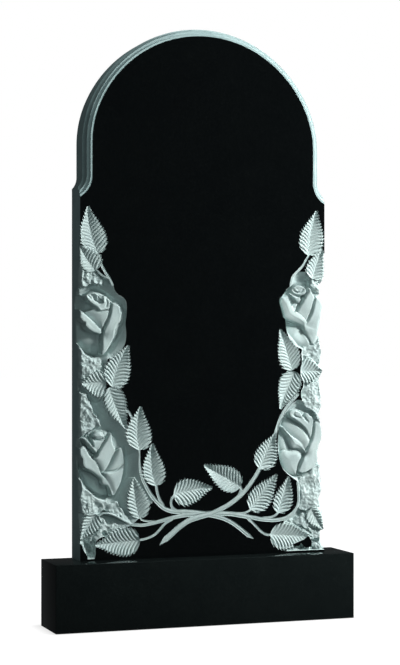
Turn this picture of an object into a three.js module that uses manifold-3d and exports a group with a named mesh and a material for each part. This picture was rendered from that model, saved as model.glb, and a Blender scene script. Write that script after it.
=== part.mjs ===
// Headstone: a round-topped slab of black granite with polished faces, standing on
// a plain granite plinth. The arch and shoulders carry a moulding of two coves, and
// roses, leaves and stems are sunk into the lower half of the front.
//
// Millimetres, +Z up. The origin is the middle of the plinth's underside, +X is to
// the right of someone facing the front, and the front looks towards -Y.

import * as THREE from "three";
import Module from "manifold-3d";
import { mergeVertices } from "three/addons/utils/BufferGeometryUtils.js";

const wasm = await Module();
wasm.setup();

// ---------------------------------------------------------------- driving sizes

const PLINTH_LENGTH = 710;
const PLINTH_DEPTH = 130;
const PLINTH_HEIGHT = 150;
const PLINTH_ARRIS = 1.5; // small chamfer on every edge of the plinth

const STELE_WIDTH = 590;
const STELE_HEIGHT = 1200;
const STELE_THICKNESS = 70;
const STELE_SHIFT = 10; // the slab stands this far right of the plinth's middle
const STELE_FRONT = -10; // Y of the polished front

const ARCH_RADIUS = 288.5; // outer edge of the arch
const ARCH_CENTRE = STELE_HEIGHT - ARCH_RADIUS;
const NECK_HALF_WIDTH = 284.5; // half width between the shoulders, outer edge
const SHOULDER_CENTRE_X = 321.5; // centre of each hollow shoulder, beside the slab
const SHOULDER_CENTRE_Z = 857;

const COVE_1 = { width: 6.3, back: 19.7, front: 9.9 };
const COVE_2 = { width: 7.6, back: 9.9, front: 0.5 };
const FILLET_WIDTH = 4.1; // narrow flat strip round the polished field

const ARCH_STEPS = 16; // per half
const SHOULDER_STEPS = 5;
const COVE_STEPS = 3;

const LEAF_EDGE_DEPTH = 1.4;
const LEAF_FOLD_DEPTH = 6.5; // at the midrib, where the two halves fold inwards
const LEAF_TEETH = 5; // per side
const TOOTH = 0.13; // share of the half width cut in between teeth
const STEM_EDGE_DEPTH = 3.2;
const STEM_CROWN_DEPTH = 0.9;

const GROUND_FOOT = 6; // plain strip left above the plinth
const GROUND_TOP = 694;
const GROUND_DEPTH = 12;
const GROUND_ROUGH = 4;
const GROUND_ROW = 27;
const ROCK_DEPTH = 24; // how far back the fills under the raised carving start

// ---------------------------------------------------------------- solids

function solid(geometry) {
  const g = geometry.index ? geometry : geometry.clone();
  g.deleteAttribute("normal");
  g.deleteAttribute("uv");
  const merged = mergeVertices(g, 1e-4);
  return new wasm.Manifold(
    new wasm.Mesh({
      numProp: 3,
      vertProperties: new Float32Array(merged.attributes.position.array),
      triVerts: new Uint32Array(merged.index.array),
    }),
  );
}

function geometryOf(manifold) {
  const m = manifold.getMesh();
  const position = new Float32Array(m.numVert * 3);
  for (let i = 0; i < m.numVert; i++)
    for (let k = 0; k < 3; k++)
      position[3 * i + k] = m.vertProperties[i * m.numProp + k];
  const g = new THREE.BufferGeometry();
  g.setAttribute("position", new THREE.BufferAttribute(position, 3));
  g.setIndex(new THREE.BufferAttribute(new Uint32Array(m.triVerts), 1));
  g.computeVertexNormals();
  return g;
}

function closedMesh(vertices, triangles) {
  const g = new THREE.BufferGeometry();
  g.setAttribute(
    "position",
    new THREE.BufferAttribute(new Float32Array(vertices.flat()), 3),
  );
  g.setIndex(triangles.flat());
  return g;
}

// A sheet is a patch of carved surface seen from the front: points [x, z, depth],
// with x from the slab's middle line, z above its foot and depth behind the front
// face; triangles and the rim run anticlockwise. It is closed against a flat level:
// in front of it for a piece to cut away, behind it for a piece to build up.
function closeSheet({ points, triangles, rim }, level) {
  const n = points.length;
  const inFront = level < 0;
  const vertices = [
    ...points.map(([x, z, d]) => [x, d, z]),
    ...points.map(([x, z]) => [x, level, z]),
  ];
  const faces = [];
  for (const [a, b, c] of triangles)
    if (inFront) faces.push([a, c, b], [a + n, b + n, c + n]);
    else faces.push([a, b, c], [a + n, c + n, b + n]);
  rim.forEach((i, k) => {
    const j = rim[(k + 1) % rim.length];
    if (inFront) faces.push([i, j, j + n], [i, j + n, i + n]);
    else faces.push([i, j + n, j], [i, i + n, j + n]);
  });
  return solid(closedMesh(vertices, faces));
}

const cutAbove = (sheet) => closeSheet(sheet, -3);

function buildUnder(sheet, level) {
  const flat = {
    ...sheet,
    points: sheet.points.map(([x, z, d]) => [x, z, Math.min(d, level)]),
  };
  return closeSheet(flat, ROCK_DEPTH);
}

// ---------------------------------------------------------------- blades: leaves and petals

// Rows of points across a blade, from its base to its tip. Each row holds the left
// edge, the middle and the right edge, left and right as seen from base to tip.
function blade({
  base,
  tip,
  bend = 0,
  left,
  right,
  rise = 0.5,
  fall = 1.1,
  teeth = 0,
  rows = 6,
  grow = 0, // widens the outline on every side
  depth, // { base, tip, left, middle, right }
}) {
  const reach = Math.hypot(tip[0] - base[0], tip[1] - base[1]);
  const along = [(tip[0] - base[0]) / reach, (tip[1] - base[1]) / reach];
  const [bx, bz] = [base[0] - along[0] * grow, base[1] - along[1] * grow];
  const [tx, tz] = [tip[0] + along[0] * grow, tip[1] + along[1] * grow];
  const length = reach + 2 * grow;
  const side = [-along[1], along[0]];
  const widest = rise / (rise + fall);
  const width = (u) =>
    Math.pow(u / widest, rise) * Math.pow((1 - u) / (1 - widest), fall);
  const at = (u, off) => {
    const bow = bend * 4 * u * (1 - u) + off;
    return [
      bx + along[0] * length * u + side[0] * bow,
      bz + along[1] * length * u + side[1] * bow,
    ];
  };
  const stations = [];
  if (teeth)
    for (let k = 0; k < teeth; k++) {
      const first = 0.04 + (0.9 * k) / teeth;
      stations.push([first, k ? 1 - TOOTH : 1]);
      stations.push([first + (0.72 * 0.9) / teeth, 1]);
    }
  else for (let k = 1; k < rows; k++) stations.push([k / rows, 1]);

  const points = [[bx, bz, depth.base]];
  for (const [u, share] of stations) {
    const w = width(u) * share;
    points.push([...at(u, left * w + grow), depth.left]);
    points.push([...at(u, 0), depth.middle]);
    points.push([...at(u, -right * w - grow), depth.right]);
  }
  const n = stations.length;
  const last = 3 * n + 1;
  points.push([tx, tz, depth.tip]);
  const L = (k) => 1 + 3 * k;
  const M = (k) => 2 + 3 * k;
  const R = (k) => 3 + 3 * k;
  const triangles = [
    [0, M(0), L(0)],
    [0, R(0), M(0)],
    [M(n - 1), last, L(n - 1)],
    [R(n - 1), last, M(n - 1)],
  ];
  for (let k = 0; k + 1 < n; k++)
    triangles.push(
      [L(k), M(k), M(k + 1)],
      [L(k), M(k + 1), L(k + 1)],
      [M(k), R(k), R(k + 1)],
      [M(k), R(k + 1), M(k + 1)],
    );
  const rim = [0];
  for (let k = 0; k < n; k++) rim.push(R(k));
  rim.push(last);
  for (let k = n - 1; k >= 0; k--) rim.push(L(k));
  return { points, triangles, rim };
}

// Each leaf: base, tip, sideways bow of the midrib, left and right half widths.
const LEAVES = [
  // left side, from the top down
  [-253, 684, -276.5, 787, 5, 29, 31],
  [-259, 647, -293, 700, 2, 20, 28],
  [-236, 396, -290, 394, 0, 33, 25],
  [-220, 388, -182, 478, 4, 28, 31],
  [-227, 384, -188, 292, -2, 26, 22],
  [-157, 246, -154, 341, 4.5, 27, 32],
  [-118, 165, -126, 258, 5, 23, 29],
  [-157, 92, -170, 182, 2, 22, 29],
  [-75, 141, 16, 156, 3, 27, 31],
  [-258, 100, -289, 50, 0, 22, 8],
  [-157, 42, -258, 35, 0, 31, 32],
  // right side, from the top down
  [256, 690, 275.5, 792, 2, 27, 31],
  [266, 638, 288, 699, 0, 20, 22],
  [214, 424, 184, 515, -2, 25, 28],
  [236, 420, 289, 421, 0, 27, 28],
  [222, 418, 184, 333, 0, 25, 28],
  [135, 197, 171, 276, 0, 26, 28],
  [86, 158, -2, 207, 0, 27, 27],
  [112, 103, 175, 181, 0, 26, 28],
  [180, 94, 205, 176, -2, 22, 23],
  [262, 98, 289, 52, 0, 7, 22],
  [160, 43, 262, 34, 0, 28, 31],
];

const leafSheet = ([bx, bz, tx, tz, bend, left, right]) => (grow) =>
  blade({
    grow,
    base: [bx, bz],
    tip: [tx, tz],
    bend,
    left,
    right,
    teeth: LEAF_TEETH,
    depth: {
      base: 4,
      tip: 2,
      left: LEAF_EDGE_DEPTH,
      middle: LEAF_FOLD_DEPTH,
      right: LEAF_EDGE_DEPTH,
    },
  });

// ---------------------------------------------------------------- bands: stems

// A stem follows a smooth path; its width runs evenly from one end to the other. A
// length for the point makes the last end a slanting cut instead of a blunt one.
function band({ path, from, to, point = 0, step = 24, grow = 0 }) {
  const curve = new THREE.CatmullRomCurve3(
    path.map(([x, z]) => new THREE.Vector3(x, 0, z)),
  );
  const n = Math.max(3, Math.round(curve.getLength() / step));
  const points = [];
  for (let k = 0; k <= n; k++) {
    const p = curve.getPointAt(k / n);
    const t = curve.getTangentAt(k / n);
    const w = (from + ((to - from) * k) / n) / 2 + grow;
    const nx = -t.z;
    const nz = t.x;
    const shift = k === 0 ? -grow : k === n ? grow : 0;
    const [x, z] = [p.x + t.x * shift, p.z + t.z * shift];
    const lag = k === n ? point : 0;
    points.push([x + nx * w, z + nz * w, STEM_EDGE_DEPTH]);
    points.push([x, z, STEM_CROWN_DEPTH]);
    points.push([x - nx * w + t.x * lag, z - nz * w + t.z * lag, STEM_EDGE_DEPTH]);
  }
  const triangles = [];
  for (let k = 0; k < n; k++) {
    const a = 3 * k;
    triangles.push(
      [a, a + 1, a + 4],
      [a, a + 4, a + 3],
      [a + 1, a + 2, a + 5],
      [a + 1, a + 5, a + 4],
    );
  }
  const rim = [1];
  for (let k = 0; k <= n; k++) rim.push(3 * k + 2);
  rim.push(3 * n + 1);
  for (let k = n; k >= 0; k--) rim.push(3 * k);
  return { points, triangles, rim };
}

const STEMS = [
  // left spray
  { path: [[-250, 676], [-245, 658], [-236, 641], [-221, 615]], from: 4.5, to: 6.5 },
  { path: [[-259, 649], [-247, 636], [-230, 627]], from: 4, to: 4 },
  { path: [[-190, 338], [-176, 320], [-162, 296]], from: 5, to: 5 },
  { path: [[-157.4, 251], [-157, 215], [-151, 185], [-135, 151], [-106, 118], [-80, 104], [-40, 101], [10, 95]], from: 5, to: 11 },
  { path: [[-222, 131], [-207, 100], [-190, 84], [-160, 76], [-120, 81], [-60, 94], [-10, 98]], from: 8, to: 9 },
  { path: [[-118.4, 169], [-113, 141], [-101, 119]], from: 6, to: 6 },
  { path: [[-72.3, 143], [-82, 122], [-70, 106]], from: 6, to: 6 },
  { path: [[-161, 41.4], [-124, 52], [-98, 77], [-78, 89]], from: 5, to: 5 },
  // right spray
  { path: [[249, 677], [238, 662], [222, 646], [211, 618]], from: 4.5, to: 7 },
  { path: [[228, 366], [198, 333], [180, 302], [169, 270]], from: 7, to: 8 },
  { path: [[228, 160], [230, 128], [218, 94], [180, 77], [120, 83], [60, 95], [10, 97]], from: 7, to: 9 },
  { path: [[84.3, 160], [85, 144], [74, 126]], from: 6, to: 6 },
  { path: [[114, 105.6], [92, 95], [70, 96]], from: 5, to: 5 },
  { path: [[181.3, 97], [163, 84], [145, 82]], from: 5, to: 5 },
  { path: [[163, 42.4], [136, 52], [104, 83]], from: 5, to: 5 },
  // the two cut ends, crossing at the foot of the spray
  { path: [[0, 96], [45, 83], [80, 63], [106, 43]], from: 9, to: 9, point: 17 },
  { path: [[134, 198], [106, 157], [80, 131], [40, 107], [0, 93], [-50, 75], [-95, 40]], from: 9, to: 12, point: -2 },
  { path: [[-84, 50], [-97, 38], [-108, 29]], from: 11, to: 1.5, point: 0 },
];

// ---------------------------------------------------------------- sunk ground beside the sprays

// Inner edge of the sunk ground on each side: [z, distance from the middle line].
const GROUND_EDGE_LEFT = [
  [0, 262], [40, 258], [62, 222], [82, 196], [100, 150], [130, 132], [150, 142],
  [190, 158], [250, 160], [292, 186], [330, 214], [385, 240], [448, 234],
  [470, 201], [500, 188], [575, 188], [592, 206], [612, 218], [640, 248], [694, 288],
];
const GROUND_EDGE_RIGHT = [
  [0, 226], [30, 226], [58, 234], [82, 200], [104, 226], [160, 228], [190, 192],
  [230, 179], [285, 180], [322, 199], [350, 236], [400, 246], [440, 236],
  [478, 230], [500, 206], [545, 193], [585, 184], [612, 203], [645, 216], [660, 250], [694, 288],
];

// Repeatable rough heights between -1 and 1.
const rough = (i, j) => {
  const s = Math.sin(i * 127.1 + j * 311.7) * 43758.5453;
  return 2 * (s - Math.floor(s)) - 1;
};

function ground(edge, sign, bevelX, bevelDepth) {
  const inner = (z) => {
    let k = 0;
    while (k + 2 < edge.length && edge[k + 1][0] < z) k++;
    const [[z0, x0], [z1, x1]] = [edge[k], edge[k + 1]];
    return x0 + ((x1 - x0) * (z - z0)) / (z1 - z0);
  };
  const rowCount = Math.round((GROUND_TOP - GROUND_FOOT) / GROUND_ROW);
  const shares = [0, 0.1, 0.42, 0.74, 1];
  const columns = shares.length + 2;
  const points = [];
  for (let i = 0; i <= rowCount; i++) {
    const z = GROUND_FOOT + ((GROUND_TOP - GROUND_FOOT) * i) / rowCount;
    const x0 = inner(z);
    shares.forEach((share, j) => {
      const x = x0 + (bevelX - x0) * share;
      const d = j === 0 ? -1 : j === 1 ? 6 : GROUND_DEPTH + GROUND_ROUGH * rough(i, j + 5 * sign);
      points.push([sign * (x + (j > 1 ? 2 * rough(j, i) : 0)), z, d]);
    });
    const back = bevelDepth + 6 * rough(i, 9 * sign);
    points.push([sign * (STELE_WIDTH / 2 + 2), z, back]);
    points.push([sign * (STELE_WIDTH / 2 + 12), z, back + 12]);
  }
  const triangles = [];
  const id = (i, j) => i * columns + j;
  for (let i = 0; i < rowCount; i++)
    for (let j = 0; j + 1 < columns; j++) {
      const [a, b, c, d] = [id(i, j), id(i, j + 1), id(i + 1, j + 1), id(i + 1, j)];
      if (sign > 0) triangles.push([a, b, c], [a, c, d]);
      else triangles.push([a, c, b], [a, d, c]);
    }
  const rim = [];
  for (let j = 0; j < columns; j++) rim.push(id(0, j));
  for (let i = 1; i <= rowCount; i++) rim.push(id(i, columns - 1));
  for (let j = columns - 2; j >= 0; j--) rim.push(id(rowCount, j));
  for (let i = rowCount - 1; i > 0; i--) rim.push(id(i, 0));
  if (sign < 0) rim.reverse();
  return { points, triangles, rim };
}

// ---------------------------------------------------------------- roses

// Each petal: base, tip, bow, left and right half widths, how its outline swells
// (rise, fall), and the depths of its left edge, middle, right edge and ends.
const ROSES = [
  [ // left, upper
    [-243, 456, -258, 594, 0, 52, 44, 0.5, 0.5, 17, 6, 17, 15],
    [-240.6, 459.5, -207, 572, -10, 15, 15, 0.5, 0.4, 9, 4, 3, 8],
    [-243, 508, -256, 574, 0, 37, 28, 1.0, 0.35, 8, 7, 4, 7],
    [-262, 572, -268, 594, 0, 16, 18, 0.5, 0.5, 3, 7, 4, 6],
    [-250, 560, -230, 582, 0, 7, 6, 0.6, 0.9, 3, 2, 4, 4],
    [-241, 508, -294, 557, 0, 15, 3, 0.5, 0.4, 9, 2, 6, 4],
  ],
  [ // left, lower
    [-216, 141, -252, 284, 0, 46, 42, 0.5, 0.5, 17, 7, 17, 15],
    [-217, 143, -199, 248, -8, 18, 14, 0.5, 0.5, 7, 4, 3, 7],
    [-225, 190, -223, 282, 0, 30, 12, 0.7, 0.9, 5, 5, 3, 4],
    [-252, 240, -255, 284, 0, 17, 13, 0.5, 0.4, 3, 8, 3, 6],
    [-215.6, 144, -290, 250, 6, 24, 5, 0.6, 0.3, 10, 2, 6, 5],
  ],
  [ // right, upper
    [262, 478, 232, 619, 0, 48, 34, 0.5, 0.5, 16, 6, 16, 14],
    [262, 500, 280, 588, -8, 14, 13, 0.5, 0.5, 7, 4, 6, 7],
    [252, 532, 262, 612, -2, 26, 10, 0.8, 0.5, 6, 3, 3, 5],
    [232, 576, 226, 618, 0, 19, 18, 0.5, 0.4, 3, 8, 3, 6],
    [248, 508, 188, 588, 4, 9, 16, 0.5, 0.5, 9, 2, 6, 4],
  ],
  [ // right, lower
    [254, 180, 222, 329, 0, 42, 34, 0.5, 0.5, 16, 6, 16, 14],
    [262, 195, 284, 296, -6, 14, 8, 0.5, 0.5, 7, 4, 7, 7],
    [250, 232, 208, 328, -14, 26, 12, 0.8, 0.5, 7, 5, 3, 5],
    [251.3, 233, 262, 320, -4, 14, 8, 0.6, 0.6, 4, 3, 6, 5],
    [248, 230, 187, 292, 3, 15, 4, 0.5, 0.4, 9, 2, 6, 4],
  ],
];

const petalSheet = ([bx, bz, tx, tz, bend, left, right, rise, fall, dl, dm, dr, de]) => (grow) =>
  blade({
    grow,
    base: [bx, bz],
    tip: [tx, tz],
    bend,
    left,
    right,
    rise,
    fall,
    rows: 6,
    depth: { base: de, tip: de, left: dl, middle: dm, right: dr },
  });

// ---------------------------------------------------------------- the slab

// Outline of the slab, drawn in from its outer edge by an inset. The right half runs
// up the side, round the hollow shoulder, up the neck and over the arch.
function slabOutline(inset) {
  const side = STELE_WIDTH / 2;
  const reach = SHOULDER_CENTRE_X - NECK_HALF_WIDTH + inset;
  const neck = NECK_HALF_WIDTH - inset;
  const radius = ARCH_RADIUS - inset;
  const half = [[side, 0]];
  const start = Math.acos((SHOULDER_CENTRE_X - side) / reach);
  for (let k = 0; k <= SHOULDER_STEPS; k++) {
    const a = start * (1 - k / SHOULDER_STEPS);
    half.push([
      SHOULDER_CENTRE_X - reach * Math.cos(a),
      SHOULDER_CENTRE_Z - reach * Math.sin(a),
    ]);
  }
  const spring = Math.acos(neck / radius);
  for (let k = 0; k <= ARCH_STEPS; k++) {
    const a = spring + (Math.PI / 2 - spring) * (k / ARCH_STEPS);
    half.push([radius * Math.cos(a), ARCH_CENTRE + radius * Math.sin(a)]);
  }
  const mirrored = half
    .slice(0, -1)
    .reverse()
    .map(([x, z]) => [-x, z]);
  return [...half, ...mirrored];
}

function cove({ width, back, front }, start) {
  const rings = [];
  for (let k = 0; k <= COVE_STEPS; k++) {
    const a = ((Math.PI / 2) * k) / COVE_STEPS;
    rings.push([start + width * Math.sin(a), front + (back - front) * Math.cos(a)]);
  }
  return rings;
}

function slabBody() {
  // [inset, depth] from the back arris to the polished front
  const rings = [
    [0, STELE_THICKNESS],
    ...cove(COVE_1, 0),
    ...cove(COVE_2, COVE_1.width).slice(1),
  ];
  const field = COVE_1.width + COVE_2.width + FILLET_WIDTH;
  rings.push([field, COVE_2.front], [field + 0.3, 0]);
  const loops = rings.map(([inset]) => slabOutline(inset));
  const n = loops[0].length;
  const vertices = [];
  loops.forEach((loop, r) =>
    loop.forEach(([x, z]) => vertices.push([x, rings[r][1], z])),
  );
  const triangles = [];
  for (let r = 0; r + 1 < rings.length; r++)
    for (let k = 0; k < n; k++) {
      const a = r * n + k;
      const b = r * n + ((k + 1) % n);
      triangles.push([a, b, b + n], [a, b + n, a + n]);
    }
  const cap = (r, facingFront) => {
    const shape = loops[r].map(([x, z]) => new THREE.Vector2(x, z));
    for (const [a, b, c] of THREE.ShapeUtils.triangulateShape(shape, [])) {
      const t = [r * n + a, r * n + b, r * n + c];
      triangles.push(facingFront ? t : [t[0], t[2], t[1]]);
    }
  };
  cap(0, false);
  cap(rings.length - 1, true);
  return solid(closedMesh(vertices, triangles));
}

// Builds stone up under one leaf, petal or stem, where the ground is already sunk, and
// then cuts everything above its surface away.
function carve(stele, sheet, level = 0.7) {
  const inside = solid(
    new THREE.BoxGeometry(STELE_WIDTH - 3, 60, STELE_HEIGHT - 8).translate(0, 20, STELE_HEIGHT / 2),
  );
  return stele
    .add(buildUnder(sheet(0), level).intersect(inside))
    .subtract(cutAbove(sheet(0.05)));
}

let stele = slabBody();
stele = stele.subtract(cutAbove(ground(GROUND_EDGE_LEFT, -1, 287, 26)));
stele = stele.subtract(cutAbove(ground(GROUND_EDGE_RIGHT, 1, 285, 32)));
for (const rose of ROSES) for (const petal of rose) stele = carve(stele, petalSheet(petal));
for (const stem of STEMS) stele = carve(stele, (grow) => band({ ...stem, grow }));
for (const leaf of LEAVES) stele = carve(stele, leafSheet(leaf));

// The cuts can leave a loose crumb of stone; the slab is the largest body.
stele = stele.decompose().reduce((a, b) => (b.volume() > a.volume() ? b : a));

// ---------------------------------------------------------------- the plinth

function chamferedBox(lx, ly, lz, c) {
  // Each corner has three points, one on each face that meets there.
  const corners = [];
  for (const sx of [-1, 1])
    for (const sy of [-1, 1])
      for (const sz of [-1, 1])
        corners.push([sx, sy, sz]);
  const vertices = [];
  corners.forEach(([sx, sy, sz]) => {
    const [x, y, z] = [lx / 2, ly / 2, lz / 2];
    vertices.push([sx * x, sy * (y - c), sz * (z - c)]);
    vertices.push([sx * (x - c), sy * y, sz * (z - c)]);
    vertices.push([sx * (x - c), sy * (y - c), sz * z]);
  });
  const id = (sx, sy, sz, k) => 3 * ((sx > 0 ? 4 : 0) + (sy > 0 ? 2 : 0) + (sz > 0 ? 1 : 0)) + k;
  const faces = [];
  const outward = (loop) => {
    const p = loop.map((i) => new THREE.Vector3(...vertices[i]));
    const normal = p[1].clone().sub(p[0]).cross(p[2].clone().sub(p[0]));
    const centre = p.reduce((s, q) => s.add(q), new THREE.Vector3());
    const ordered = normal.dot(centre) > 0 ? loop : [...loop].reverse();
    for (let k = 1; k + 1 < ordered.length; k++)
      faces.push([ordered[0], ordered[k], ordered[k + 1]]);
  };
  for (const s of [-1, 1]) {
    outward([id(s, -1, -1, 0), id(s, 1, -1, 0), id(s, 1, 1, 0), id(s, -1, 1, 0)]);
    outward([id(-1, s, -1, 1), id(1, s, -1, 1), id(1, s, 1, 1), id(-1, s, 1, 1)]);
    outward([id(-1, -1, s, 2), id(1, -1, s, 2), id(1, 1, s, 2), id(-1, 1, s, 2)]);
    for (const t of [-1, 1]) {
      outward([id(s, t, -1, 0), id(s, t, 1, 0), id(s, t, 1, 1), id(s, t, -1, 1)]);
      outward([id(s, -1, t, 0), id(s, 1, t, 0), id(s, 1, t, 2), id(s, -1, t, 2)]);
      outward([id(-1, s, t, 1), id(1, s, t, 1), id(1, s, t, 2), id(-1, s, t, 2)]);
      for (const u of [-1, 1]) outward([id(s, t, u, 0), id(s, t, u, 1), id(s, t, u, 2)]);
    }
  }
  return closedMesh(vertices, faces);
}

const polishedStone = new THREE.MeshStandardMaterial({
  color: 0x101314,
  roughness: 0.12,
  metalness: 0,
});
const carvedStone = new THREE.MeshStandardMaterial({
  color: 0x202628,
  roughness: 0.55,
  metalness: 0,
});

const plinthMesh = new THREE.Mesh(
  geometryOf(solid(chamferedBox(PLINTH_LENGTH, PLINTH_DEPTH, PLINTH_HEIGHT, PLINTH_ARRIS))),
  polishedStone,
);
plinthMesh.name = "plinth";
plinthMesh.position.set(0, 0, PLINTH_HEIGHT / 2);

const steleMesh = new THREE.Mesh(geometryOf(stele), carvedStone);
steleMesh.name = "stele";
steleMesh.position.set(STELE_SHIFT, STELE_FRONT, PLINTH_HEIGHT);

const group = new THREE.Group();
group.name = "headstone";
group.add(plinthMesh, steleMesh);

export default group;
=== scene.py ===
import math

import bpy
import numpy as np
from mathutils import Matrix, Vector


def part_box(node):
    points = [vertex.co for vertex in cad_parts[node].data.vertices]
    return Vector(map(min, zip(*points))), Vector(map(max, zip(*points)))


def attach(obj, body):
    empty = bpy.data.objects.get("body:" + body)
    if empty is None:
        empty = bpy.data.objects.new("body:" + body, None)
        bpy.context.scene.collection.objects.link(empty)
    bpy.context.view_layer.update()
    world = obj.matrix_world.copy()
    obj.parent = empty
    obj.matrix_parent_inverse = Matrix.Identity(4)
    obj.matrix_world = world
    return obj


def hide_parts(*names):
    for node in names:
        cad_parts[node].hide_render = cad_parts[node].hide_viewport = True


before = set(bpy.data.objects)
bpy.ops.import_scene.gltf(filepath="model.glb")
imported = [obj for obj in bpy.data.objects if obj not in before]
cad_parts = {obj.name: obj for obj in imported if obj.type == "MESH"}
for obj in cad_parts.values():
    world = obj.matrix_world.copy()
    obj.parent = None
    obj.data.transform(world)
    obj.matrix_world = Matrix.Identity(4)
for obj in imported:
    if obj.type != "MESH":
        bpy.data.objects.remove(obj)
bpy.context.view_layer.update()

# ------------------------------------------------------------------ sizes, in mm as carved

WIDTH, HEIGHT, THICK = 590.0, 1200.0, 70.0
MIDDLE, FRONT, FOOT = 10.0, -10.0, 150.0  # the slab's middle line, front face and foot
ARCH_R, NECK, SHOULDER_X, SHOULDER_Z = 288.5, 284.5, 321.5, 857.0
EASE_R = 240.0  # eases the arch into the straight neck
COVE_1 = (6.4, 19.7, 5.2)
FLAT = 1.5  # the narrow flat between the two coves
COVE_2 = (6.0, 5.0, 0.5)
FILLET = 4.1

NX, NZ, BLOCK = 540, 729, 9  # the carved front's grid, in cells, and the cells in a block
TOP = 800.0

gx = np.linspace(-WIDTH / 2, WIDTH / 2, NX + 1)
gz = np.linspace(0.0, TOP, NZ + 1)
X, Z = np.meshgrid(gx, gz)
D = np.zeros_like(X)  # depth behind the polished face
S = np.full_like(X, -60.0)  # how far inside the carving, 0 on its outline
FLOWER = np.zeros(X.shape, bool)  # where petals are
CELL = WIDTH / NX


# ------------------------------------------------------------------ small helpers


def window(x0, x1, z0, z1, margin=3.0):
    i0 = max(0, int(np.searchsorted(gx, x0 - margin)) - 1)
    i1 = min(NX + 1, int(np.searchsorted(gx, x1 + margin)) + 1)
    j0 = max(0, int(np.searchsorted(gz, z0 - margin)) - 1)
    j1 = min(NZ + 1, int(np.searchsorted(gz, z1 + margin)) + 1)
    return slice(j0, j1), slice(i0, i1)


def put(at, inside, depth):
    D[at] = np.where(inside > 0, depth, D[at])
    S[at] = np.maximum(S[at], inside)


def smooth(t):
    t = np.clip(t, 0.0, 1.0)
    return t * t * (3 - 2 * t)


def hashed(i, j, seed):
    n = (i.astype(np.int64) * 374761393 + j.astype(np.int64) * 668265263 + seed * 1274126177) & 0xFFFFFFFF
    n = ((n ^ (n >> 13)) * 1103515245) & 0xFFFFFFFF
    n = ((n ^ (n >> 16)) * 2246822519) & 0xFFFFFFFF
    return ((n ^ (n >> 15)) & 0xFFFFFF) / float(0xFFFFFF)


def value_noise(x, z, scale, seed):
    u, v = x / scale, z / scale
    i, j = np.floor(u).astype(int), np.floor(v).astype(int)
    fu, fv = smooth(u - i), smooth(v - j)
    a = hashed(i, j, seed) * (1 - fu) + hashed(i + 1, j, seed) * fu
    b = hashed(i, j + 1, seed) * (1 - fu) + hashed(i + 1, j + 1, seed) * fu
    return (a * (1 - fv) + b * fv) * 2 - 1


def facets(x, z, size, seed, slant=0.0, stretch=1.0):
    """Flat triangular facets with random corner heights, as hand-split stone shows, from -1 to 1."""
    c, s = math.cos(slant), math.sin(slant)
    x, z = x * c + z * s, (-x * s + z * c) / stretch
    x = x + 0.35 * size * value_noise(x, z, size * 1.7, seed + 11)
    z = z + 0.35 * size * value_noise(x, z, size * 1.7, seed + 12)
    skew = (x + z) * 0.3660254 / size
    u, v = x / size + skew, z / size + skew
    i, j = np.floor(u).astype(int), np.floor(v).astype(int)
    fu, fv = u - i, v - j
    h00, h11 = hashed(i, j, seed), hashed(i + 1, j + 1, seed)
    h10, h01 = hashed(i + 1, j, seed), hashed(i, j + 1, seed)
    low = h00 + fu * (h10 - h00) + fv * (h11 - h10)
    high = h00 + fv * (h01 - h00) + fu * (h11 - h01)
    return np.where(fu > fv, low, high) * 2 - 1


def flakes(x, z, pitch, seed):
    """Shallow flakes struck off toward the right and the top, each with a short steep edge, -0.5 to 0.5."""
    t = (0.8 * x + 0.6 * z) / pitch + 1.3 * value_noise(x, z, pitch * 3.0, seed) + 0.3 * value_noise(x, z, pitch, seed + 1)
    size = np.clip(0.25 + 1.1 * value_noise(x, z, pitch * 1.5, seed + 3), 0, 1)
    return (t - np.floor(t) - 0.5) * size


def spline(points, steps=7, closed=False):
    """Points on a smooth curve through the given ones."""
    p = np.asarray(points, float)
    n = len(p)
    out = []
    for k in range(n if closed else n - 1):
        if closed:
            a, b, c, d = p[(k - 1) % n], p[k], p[(k + 1) % n], p[(k + 2) % n]
        else:
            b, c = p[k], p[k + 1]
            a = p[k - 1] if k else 2 * b - c
            d = p[k + 2] if k + 2 < n else 2 * c - b
        # centripetal spacing keeps the curve from looping at close points
        t0 = 0.0
        t1 = t0 + max(np.linalg.norm(b - a), 1e-6) ** 0.5
        t2 = t1 + max(np.linalg.norm(c - b), 1e-6) ** 0.5
        t3 = t2 + max(np.linalg.norm(d - c), 1e-6) ** 0.5
        for q in range(steps):
            t = t1 + (t2 - t1) * q / steps
            a1 = (t1 - t) / (t1 - t0) * a + (t - t0) / (t1 - t0) * b
            a2 = (t2 - t) / (t2 - t1) * b + (t - t1) / (t2 - t1) * c
            a3 = (t3 - t) / (t3 - t2) * c + (t - t2) / (t3 - t2) * d
            b1 = (t2 - t) / (t2 - t0) * a1 + (t - t0) / (t2 - t0) * a2
            b2 = (t3 - t) / (t3 - t1) * a2 + (t - t1) / (t3 - t1) * a3
            out.append((t2 - t) / (t2 - t1) * b1 + (t - t1) / (t2 - t1) * b2)
    if not closed:
        out.append(p[-1])
    return np.array(out)


def to_line(x, z, line):
    """Distance to a polyline, the side it lies on, and how far along the nearest point is."""
    best = np.full(x.shape, 1e9)
    along = np.zeros(x.shape)
    side = np.zeros(x.shape)
    seg = np.linalg.norm(np.diff(line, axis=0), axis=1)
    total = seg.sum()
    run = 0.0
    for (ax, az), (bx, bz), length in zip(line[:-1], line[1:], seg):
        if length < 1e-9:
            continue
        tx, tz = (bx - ax) / length, (bz - az) / length
        t = np.clip((x - ax) * tx + (z - az) * tz, 0, length)
        qx, qz = x - ax - t * tx, z - az - t * tz
        d = qx * qx + qz * qz
        near = d < best
        best = np.where(near, d, best)
        along = np.where(near, (run + t) / total, along)
        side = np.where(near, tx * qz - tz * qx, side)
        run += length
    return np.sqrt(best), np.sign(side), along


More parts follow.
